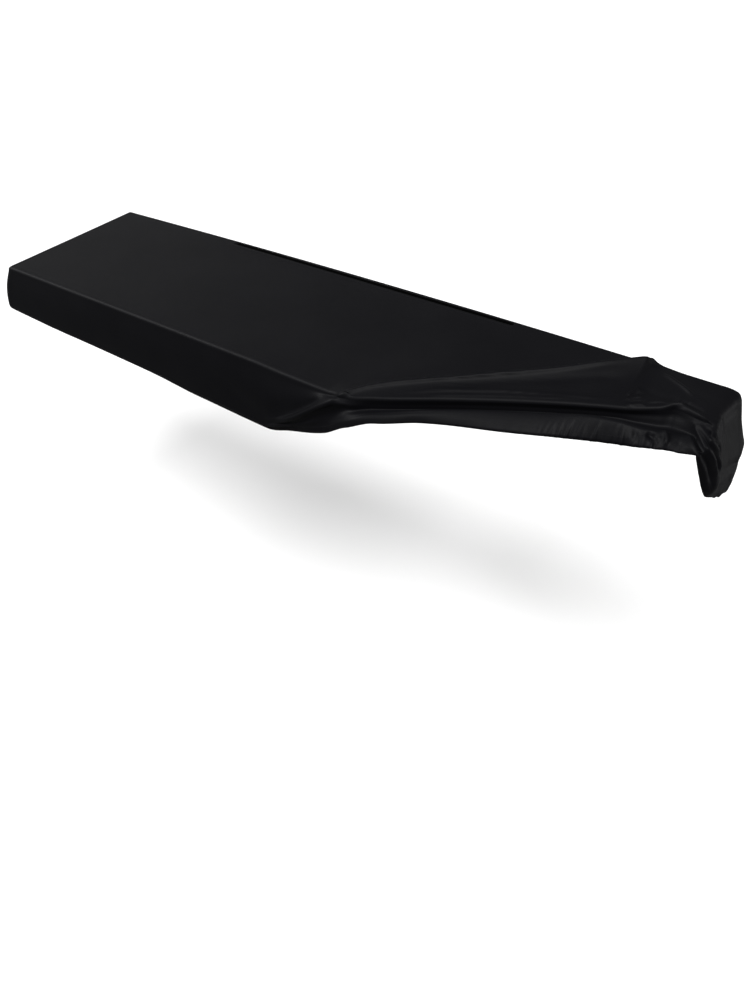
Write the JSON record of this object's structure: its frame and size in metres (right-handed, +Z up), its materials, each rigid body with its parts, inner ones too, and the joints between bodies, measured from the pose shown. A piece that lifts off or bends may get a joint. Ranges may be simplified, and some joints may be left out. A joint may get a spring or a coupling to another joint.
{
  "type": "fitted piano cover",
  "caption": "Stretch cloth dust cover for an electric piano, pulled tight like a box, with its front skirt pushed back over the keys at one end and a slot near its back edge",
  "frame": {"origin": "The middle of the underside of the cover's top, where it lies on the piano", "axes": "+X runs along the cover to its pulled-back right end, +Y to its back edge and +Z up"},
  "size_m": [1.3812, 0.3363, 0.1832],
  "materials": {
    "cover_cloth": "matte black stretch knit"
  },
  "bodies": {
    "root": {"cover_cloth": "cover_cloth"}
  },
  "joints": []
}
